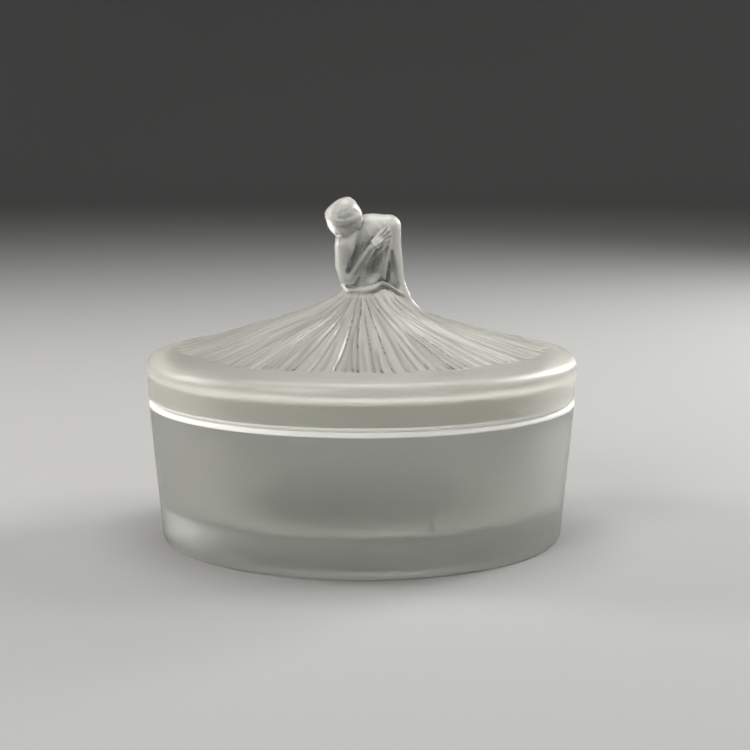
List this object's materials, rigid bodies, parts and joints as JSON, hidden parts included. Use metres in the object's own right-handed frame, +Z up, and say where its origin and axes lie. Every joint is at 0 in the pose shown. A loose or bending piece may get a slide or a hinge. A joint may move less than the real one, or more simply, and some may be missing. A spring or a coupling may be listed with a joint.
{
  "type": "powder jar",
  "caption": "Round covered powder jar in pressed satin glass; its low pleated cover rises to a bending dancer that serves as the handle and lifts off the jar's locating lip.",
  "frame": {"origin": "centre of the foot ring, on the plane the jar stands on", "axes": "+Z up out of the jar's mouth, +X to the dancer's train, -Y to the side the dancer bends towards"},
  "size_m": [0.085, 0.085, 0.0671],
  "materials": {
    "jar_glass": "satin etched",
    "lid_glass": "satin etched"
  },
  "bodies": {
    "jar": {"jar_body": "jar_glass"},
    "lid": {"lid": "lid_glass"}
  },
  "joints": [
    {"name": "lid_lift", "type": "slide", "parent": "jar", "child": "lid", "axis": [0, 0, 1], "range_m": [0, 0.06]}
  ]
}
